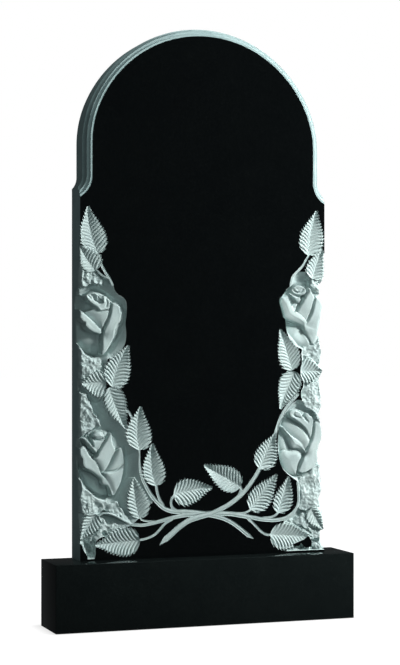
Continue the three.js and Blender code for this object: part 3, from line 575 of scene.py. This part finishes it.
# Grid points near the carving's outline are drawn onto it, so that the polished edge is clean.
gz_s, gx_s = np.gradient(S, TOP / NZ, CELL)
g2 = np.maximum(gx_s**2 + gz_s**2, 0.35)
sx, sz = -S * gx_s / g2, -S * gz_s / g2
near = (np.hypot(sx, sz) < 0.62 * CELL) & (np.abs(S) < 1.2)
near[:, [0, -1]] = near[[0, -1], :] = False
lim = 0.45 * CELL
PX = X + np.where(near, np.clip(sx, -lim, lim), 0)
PZ = Z + np.where(near, np.clip(sz, -lim, lim), 0)
D[near] = 0.0
S[near] = 0.0

co = np.stack([(PX + MIDDLE), (FRONT + D), (PZ + FOOT)], axis=-1).reshape(-1, 3) * 0.001
row = NX + 1
ident = np.arange((NX + 1) * (NZ + 1)).reshape(NZ + 1, NX + 1)
BX, BZ = NX // BLOCK, NZ // BLOCK
plain = np.zeros((BZ, BX), bool)
for bj in range(BZ):
    for bi in range(BX):
        part = S[bj * BLOCK : bj * BLOCK + BLOCK + 1, bi * BLOCK : bi * BLOCK + BLOCK + 1]
        plain[bj, bi] = part.max() < -1.3 * CELL

POLISHED, ROUGH = 0, 1


def add_mesh(name, vertices, faces, materials, kinds, sharp=38.0):
    """A mesh piece from vertex rows, face index lists and one material number for each face."""
    used = np.unique(np.concatenate([np.asarray(f).ravel() for f in faces]))
    renumber = np.full(len(vertices), -1, np.int64)
    renumber[used] = np.arange(len(used))
    sizes = np.concatenate([np.full(len(f), f.shape[1]) if isinstance(f, np.ndarray) else [len(f)] for f in faces])
    loops = renumber[np.concatenate([np.asarray(f).ravel() for f in faces])]
    mesh = bpy.data.meshes.new(name)
    mesh.vertices.add(len(used))
    mesh.vertices.foreach_set("co", vertices[used].astype(np.float32).ravel())
    mesh.loops.add(len(loops))
    mesh.loops.foreach_set("vertex_index", loops.astype(np.int32))
    mesh.polygons.add(len(sizes))
    mesh.polygons.foreach_set("loop_start", np.concatenate([[0], np.cumsum(sizes)[:-1]]).astype(np.int32))
    mesh.polygons.foreach_set("material_index", np.asarray(kinds, np.int32))
    mesh.update(calc_edges=True)
    mesh.validate()
    mesh.shade_smooth()
    mesh.set_sharp_from_angle(angle=math.radians(sharp))
    for m in materials:
        mesh.materials.append(m)
    ob = bpy.data.objects.new(name, mesh)
    bpy.context.scene.collection.objects.link(ob)
    return ob


# ------------------------------------------------------------------ materials


def nodes_of(name):
    m = bpy.data.materials.new(name)
    m.use_nodes = True
    t = m.node_tree
    t.nodes.clear()
    out = t.nodes.new("ShaderNodeOutputMaterial")
    b = t.nodes.new("ShaderNodeBsdfPrincipled")
    t.links.new(b.outputs["BSDF"], out.inputs["Surface"])
    where = t.nodes.new("ShaderNodeTexCoord").outputs["Object"]
    return m, t, b, where


def noise(t, where, scale, detail=2.0, rough=0.5):
    n = t.nodes.new("ShaderNodeTexNoise")
    n.inputs["Scale"].default_value = scale
    n.inputs["Detail"].default_value = detail
    n.inputs["Roughness"].default_value = rough
    t.links.new(where, n.inputs["Vector"])
    return n.outputs["Fac"]


def ramp(t, value, stops):
    r = t.nodes.new("ShaderNodeValToRGB")
    e = r.color_ramp.elements
    while len(e) < len(stops):
        e.new(0.5)
    for k, (at, c) in enumerate(stops):
        e[k].position = at
        e[k].color = (*c, 1.0) if len(c) == 3 else c
    t.links.new(value, r.inputs["Fac"])
    return r.outputs["Color"]


def spread(t, value, low, high, a=0.3, b=0.7):
    r = t.nodes.new("ShaderNodeMapRange")
    r.inputs["From Min"].default_value = a
    r.inputs["From Max"].default_value = b
    r.inputs["To Min"].default_value = low
    r.inputs["To Max"].default_value = high
    t.links.new(value, r.inputs["Value"])
    return r.outputs["Result"]


def mix(t, fac, a, b, mode="MIX"):
    m = t.nodes.new("ShaderNodeMix")
    m.data_type = "RGBA"
    m.blend_type = mode
    for socket, value in ((m.inputs["Factor"], fac), (m.inputs["A"], a), (m.inputs["B"], b)):
        if isinstance(value, (int, float)):
            socket.default_value = value
        elif isinstance(value, tuple):
            socket.default_value = (*value, 1.0)
        else:
            t.links.new(value, socket)
    return m.outputs["Result"]


def polished(name, dark, light, rough=0.055):
    """Mirror-polished black granite: near black, with grey and slightly green crystals."""
    m, t, b, where = nodes_of(name)
    cells = t.nodes.new("ShaderNodeTexVoronoi")
    cells.inputs["Scale"].default_value = 900
    t.links.new(where, cells.inputs["Vector"])
    grey = t.nodes.new("ShaderNodeSeparateColor")
    t.links.new(cells.outputs["Color"], grey.inputs["Color"])
    grain = ramp(t, grey.outputs["Red"], [(0.0, dark), (0.72, dark), (0.93, light), (1.0, light)])
    cloud = noise(t, where, 14, 4, 0.6)
    tone = ramp(t, cloud, [(0.3, (0.86, 0.88, 0.9)), (0.7, (1.1, 1.1, 1.08))])
    t.links.new(mix(t, 1.0, grain, tone, "MULTIPLY"), b.inputs["Base Color"])
    fine = noise(t, where, 420, 3, 0.6)
    t.links.new(spread(t, fine, rough * 0.65, rough * 1.35), b.inputs["Roughness"])
    b.inputs["IOR"].default_value = 1.5
    return m


def unpolished(name, light, dark, rough=0.62, saw=False):
    """The same granite left unpolished: pale grey-green powdery surface with a fine salt-and-pepper grain."""
    m, t, b, where = nodes_of(name)
    cells = t.nodes.new("ShaderNodeTexVoronoi")
    cells.inputs["Scale"].default_value = 620
    t.links.new(where, cells.inputs["Vector"])
    grey = t.nodes.new("ShaderNodeSeparateColor")
    t.links.new(cells.outputs["Color"], grey.inputs["Color"])
    grain = ramp(t, grey.outputs["Red"], [(0.0, dark), (0.16, dark), (0.34, light), (1.0, light)])
    cloud = noise(t, where, 26, 5, 0.62)
    tone = ramp(t, cloud, [(0.28, (0.84, 0.87, 0.88)), (0.72, (1.06, 1.06, 1.05))])
    t.links.new(mix(t, 1.0, grain, tone, "MULTIPLY"), b.inputs["Base Color"])
    fine = noise(t, where, 700, 4, 0.65)
    t.links.new(spread(t, fine, rough - 0.08, rough + 0.1), b.inputs["Roughness"])
    b.inputs["IOR"].default_value = 1.5
    height = fine
    if saw:
        w = t.nodes.new("ShaderNodeTexWave")
        w.wave_type = "BANDS"
        w.bands_direction = "Z"
        w.inputs["Scale"].default_value = 60
        w.inputs["Distortion"].default_value = 1.2
        w.inputs["Detail"].default_value = 2
        t.links.new(where, w.inputs["Vector"])
        add = t.nodes.new("ShaderNodeMath")
        add.operation = "MULTIPLY_ADD"
        add.inputs[1].default_value = 0.35
        t.links.new(w.outputs["Fac"], add.inputs[0])
        t.links.new(fine, add.inputs[2])
        height = add.outputs["Value"]
    bump = t.nodes.new("ShaderNodeBump")
    bump.inputs["Strength"].default_value = 0.35
    bump.inputs["Distance"].default_value = 0.0004
    t.links.new(height, bump.inputs["Height"])
    t.links.new(bump.outputs["Normal"], b.inputs["Normal"])
    return m


front_stone = polished("polished_black_granite", (0.0013, 0.0019, 0.0021), (0.0032, 0.0042, 0.0044))
# the plinth's base colour is lighter than the front's: a painted reflection of the white floor, which is hidden from
# glossy rays
plinth_stone_painted_reflection = polished("plinth_granite_painted_floor_reflection", (0.0042, 0.0062, 0.0062), (0.0085, 0.0118, 0.0118), 0.12)
carved_stone = unpolished("carved_granite", (0.43, 0.525, 0.515), (0.395, 0.485, 0.475))
sawn_stone = unpolished("sawn_granite", (0.34, 0.455, 0.455), (0.285, 0.385, 0.385), 0.6, saw=True)

# ------------------------------------------------------------------ the carved front's pieces

cj, ci = np.meshgrid(np.arange(NZ), np.arange(NX), indexing="ij")
fine_cell = ~plain[cj // BLOCK, ci // BLOCK]
quads = np.stack([ident[cj, ci], ident[cj, ci + 1], ident[cj + 1, ci + 1], ident[cj + 1, ci]], axis=-1)
highest = np.maximum.reduce([S[:-1, :-1], S[:-1, 1:], S[1:, 1:], S[1:, :-1]])
carved_cell = highest > 1e-6

carvings = []
for name, keep in (("carving_left", ci < NX // 2), ("carving_right", ci >= NX // 2)):
    pick = fine_cell & keep
    q = quads[pick]
    kinds = np.where(carved_cell[pick], ROUGH, POLISHED)
    carvings.append(add_mesh(name, co, [q], [front_stone, carved_stone], kinds))

# ------------------------------------------------------------------ the slab's polished field, moulding, sides and back

points = [tuple(p) for p in co]
extra = []


def vertex(x, z, depth):
    extra.append(((x + MIDDLE) * 0.001, (FRONT + depth) * 0.001, (z + FOOT) * 0.001))
    return len(co) + len(extra) - 1


faces, kinds = [], []


def face(loop, kind):
    faces.append(list(loop))
    kinds.append(kind)


def side_points(bj, bi, edge):
    """Grid points along one side of a plain block: all of them beside fine cells, else its corners."""
    j0, i0 = bj * BLOCK, bi * BLOCK
    dj, di = {"s": (-1, 0), "e": (0, 1), "n": (1, 0), "w": (0, -1)}[edge]
    oj, oi = bj + dj, bi + di
    beside_fine = 0 <= oj < BZ and 0 <= oi < BX and not plain[oj, oi]
    steps = range(BLOCK) if beside_fine else (0,)
    if edge == "s":
        return [ident[j0, i0 + k] for k in steps]
    if edge == "e":
        return [ident[j0 + k, i0 + BLOCK] for k in steps]
    if edge == "n":
        return [ident[j0 + BLOCK, i0 + BLOCK - k] for k in steps]
    return [ident[j0 + BLOCK - k, i0] for k in steps]


for bj in range(BZ):
    for bi in range(BX):
        if plain[bj, bi]:
            face([p for e in "senw" for p in side_points(bj, bi, e)], POLISHED)

# the outline above the grid, drawn in by an inset
ARCH_N, EASE_N, SHOULDER_N, COVE_N = 64, 16, 22, 12


def outline(inset):
    reach = SHOULDER_X - NECK + inset
    radius = ARCH_R - inset
    centre = HEIGHT - ARCH_R
    start = math.acos((SHOULDER_X - WIDTH / 2) / reach)
    half = []
    for k in range(SHOULDER_N + 1):
        a = start * (1 - k / SHOULDER_N)
        half.append((SHOULDER_X - reach * math.cos(a), SHOULDER_Z - reach * math.sin(a)))
    ease_x = NECK - EASE_R
    ease_z = centre + math.sqrt((ARCH_R - EASE_R) ** 2 - ease_x**2)
    meet = math.atan2(ease_z - centre, ease_x)
    for k in range(EASE_N + 1):
        a = meet * k / EASE_N
        half.append((ease_x + (EASE_R - inset) * math.cos(a), ease_z + (EASE_R - inset) * math.sin(a)))
    for k in range(1, ARCH_N + 1):
        a = meet + (math.pi / 2 - meet) * k / ARCH_N
        half.append((radius * math.cos(a), centre + radius * math.sin(a)))
    return half + [(-x, z) for x, z in reversed(half[:-1])]


def cove(c, start):
    width, back, front = c
    return [
        (start + width * math.sin(math.pi / 2 * k / COVE_N), front + (back - front) * math.cos(math.pi / 2 * k / COVE_N))
        for k in range(COVE_N + 1)
    ]


rings = [(0.0, THICK - 1.0), *cove(COVE_1, 0.0), *cove(COVE_2, COVE_1[0] + FLAT)]
field = COVE_1[0] + FLAT + COVE_2[0] + FILLET
rings += [(field, COVE_2[2]), (field + 0.3, 0.0)]
loops = [[vertex(x, z, depth) for x, z in outline(inset)] for inset, depth in rings]
back_loop = [vertex(x, z, THICK) for x, z in outline(1.0)]
for lower, upper in zip([back_loop, *loops[:-1]], loops):
    for k in range(len(lower) - 1):
        face([lower[k], lower[k + 1], upper[k + 1], upper[k]], ROUGH)

# polished field above the carving
top_row = [ident[NZ, k] for k in range(0, NX + 1, BLOCK)]
face(top_row + loops[-1], POLISHED)

# sides, cut square across the moulding
for sign in (1, -1):
    col = NX if sign > 0 else 0
    end = 0 if sign > 0 else -1
    fine_z = [j for j in range(NZ + 1) if not (plain[min(j // BLOCK, BZ - 1), BX - 1 if sign > 0 else 0] and j % BLOCK)]
    front = [ident[j, col] for j in fine_z]
    back = [vertex(sign * WIDTH / 2, gz[j], THICK - 1.0) for j in fine_z]
    for k in range(len(front) - 1):
        quad = [front[k], back[k], back[k + 1], front[k + 1]]
        face(quad if sign > 0 else quad[::-1], ROUGH)
    step = [front[-1]] + [loop[end] for loop in reversed(loops)]
    cap = [back[-1], *step[:1], *step[1:]]
    cap = [back[-1]] + [loop[end] for loop in loops] + [front[-1]]
    face(cap[::-1] if sign < 0 else cap, ROUGH)
    # narrow chamfer to the back
    inner = [vertex(sign * (WIDTH / 2 - 1.0), gz[j], THICK) for j in fine_z]
    for k in range(len(back) - 1):
        quad = [back[k], inner[k], inner[k + 1], back[k + 1]]
        face(quad if sign > 0 else quad[::-1], ROUGH)
    quad = [back[-1], inner[-1], back_loop[end], loops[0][end]]
    face(quad if sign > 0 else quad[::-1], ROUGH)
    if sign > 0:
        right_back, right_inner = back, inner
    else:
        left_back, left_inner = back, inner

# back and foot
face([*reversed(right_inner), *left_inner, *reversed(back_loop)], POLISHED)
foot_row = [ident[0, k] for k in range(0, NX + 1) if not (plain[0, min(k // BLOCK, BX - 1)] and k % BLOCK)]
face([*foot_row[::-1], left_back[0], left_inner[0], right_inner[0], right_back[0]], ROUGH)

everything = np.vstack([co, np.array(extra)])
slab = add_mesh("slab", everything, faces, [front_stone, sawn_stone], kinds, 30)

# ------------------------------------------------------------------ the plinth

low, high = (np.array(v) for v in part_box("plinth"))


def block_mesh(name, low, high, radius, steps, materials, rough_faces):
    """A box with rounded arrises. rough_faces names the unpolished faces by their outward direction."""
    import bmesh

    bm = bmesh.new()
    bmesh.ops.create_cube(bm, size=1.0)
    for v in bm.verts:
        for k in range(3):
            v.co[k] = (low[k] + high[k]) / 2 + v.co[k] * (high[k] - low[k])
    bmesh.ops.bevel(bm, geom=list(bm.edges), offset=radius, segments=steps, profile=0.5, affect="EDGES")
    bm.normal_update()
    for f in bm.faces:
        for axis, sense in rough_faces:
            if f.normal[axis] * sense > 0.75:
                f.material_index = 1
    mesh = bpy.data.meshes.new(name)
    bm.to_mesh(mesh)
    bm.free()
    mesh.shade_smooth()
    mesh.set_sharp_from_angle(angle=math.radians(50))
    for m in materials:
        mesh.materials.append(m)
    ob = bpy.data.objects.new(name, mesh)
    bpy.context.scene.collection.objects.link(ob)
    return ob


plinth_block = block_mesh("plinth_block", low, high, 0.0014, 3, [plinth_stone_painted_reflection, sawn_stone], [(2, -1)])

for piece in [*carvings, slab]:
    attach(piece, "root")
    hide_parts("stele")
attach(plinth_block, "root")
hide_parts("plinth")

# ------------------------------------------------------------------ floor, light and camera

m, t, b, where = nodes_of("floor_white")
b.inputs["Base Color"].default_value = (0.1, 0.1, 0.1, 1.0)
b.inputs["Roughness"].default_value = 0.9
b.inputs["Emission Color"].default_value = (1.0, 1.0, 1.0, 1.0)


def vector_math(operation, first, second=None):
    n = t.nodes.new("ShaderNodeVectorMath")
    n.operation = operation
    for socket, value in zip(n.inputs, (first, second)):
        if isinstance(value, tuple):
            socket.default_value = value
        elif value is not None:
            t.links.new(value, socket)
    return n.outputs["Value" if operation == "LENGTH" else "Vector"]


# white, with a painted soft contact shadow: the floor's emission is dimmed within 3 cm of the plinth's outline
beside = vector_math("SUBTRACT", vector_math("ABSOLUTE", where), (high[0] - 0.004, high[1] - 0.004, 0.0))
away = vector_math("LENGTH", vector_math("MAXIMUM", beside, (0.0, 0.0, 0.0)))
t.links.new(spread(t, away, 0.72, 1.0, 0.0, 0.03), b.inputs["Emission Strength"])
floor_mesh = bpy.data.meshes.new("floor")
floor_mesh.from_pydata([(-30, -14, 0), (30, -14, 0), (30, 40, 0), (-30, 40, 0)], [], [(0, 1, 2, 3)])
floor_mesh.materials.append(m)
floor = bpy.data.objects.new("floor", floor_mesh)
floor.visible_glossy = False
floor.visible_diffuse = False
bpy.context.scene.collection.objects.link(floor)

world = bpy.data.worlds.new("studio")
bpy.context.scene.world = world
world.use_nodes = True
wt = world.node_tree
wt.nodes.clear()
w_out = wt.nodes.new("ShaderNodeOutputWorld")
path = wt.nodes.new("ShaderNodeLightPath")


def backdrop(colour, strength):
    n = wt.nodes.new("ShaderNodeBackground")
    n.inputs["Color"].default_value = (*colour, 1)
    n.inputs["Strength"].default_value = strength
    return n.outputs["Background"]


m1 = wt.nodes.new("ShaderNodeMixShader")
m2 = wt.nodes.new("ShaderNodeMixShader")
wt.links.new(path.outputs["Is Glossy Ray"], m1.inputs["Fac"])
wt.links.new(backdrop((0.86, 0.97, 1.0), 0.10), m1.inputs[1])
wt.links.new(backdrop((0.90, 0.98, 1.0), 0.030), m1.inputs[2])
wt.links.new(path.outputs["Is Camera Ray"], m2.inputs["Fac"])
wt.links.new(m1.outputs["Shader"], m2.inputs[1])
wt.links.new(backdrop((1.0, 1.0, 1.0), 1.0), m2.inputs[2])
wt.links.new(m2.outputs["Shader"], w_out.inputs["Surface"])


def area_light(name, at, aim, size, power, colour=(1, 1, 1)):
    data = bpy.data.lights.new(name, "AREA")
    data.shape = "RECTANGLE"
    data.size, data.size_y = size
    data.energy = power
    data.color = colour
    ob = bpy.data.objects.new(name, data)
    ob.location = at
    ob.rotation_mode = "QUATERNION"
    ob.rotation_quaternion = (Vector(aim) - Vector(at)).to_track_quat("-Z", "Y")
    ob.visible_glossy = False
    bpy.context.scene.collection.objects.link(ob)
    return ob


area_light("key", (1.95, -1.2, 1.6), (0.0, 0.0, 0.6), (0.45, 0.45), 108, (1.0, 0.975, 0.97))
area_light("front_fill", (0.6, -3.4, 1.3), (0.0, 0.0, 0.6), (1.2, 1.2), 14, (0.85, 1.0, 1.0))
area_light("right_side", (2.6, -0.2, 1.5), (0.3, 0.0, 0.9), (0.8, 0.8), 65, (1.0, 0.92, 0.92))
area_light("overhead", (1.4, -0.9, 4.5), (0.0, 0.0, 0.0), (2.5, 2.5), 70, (0.95, 1.0, 1.0))

cam_data = bpy.data.cameras.new("camera")
cam_data.sensor_width = 36
cam_data.lens = 92.75
cam_data.shift_y = 0.0341
cam_data.clip_end = 100
cam = bpy.data.objects.new("camera", cam_data)
cam.location = (-1.307, -3.676, 0.607)
cam.rotation_euler = (math.radians(90), 0, math.radians(-19.58))
bpy.context.scene.collection.objects.link(cam)
bpy.context.scene.camera = cam
bpy.context.scene.view_settings.view_transform = "Standard"
bpy.context.scene.view_settings.look = "None"
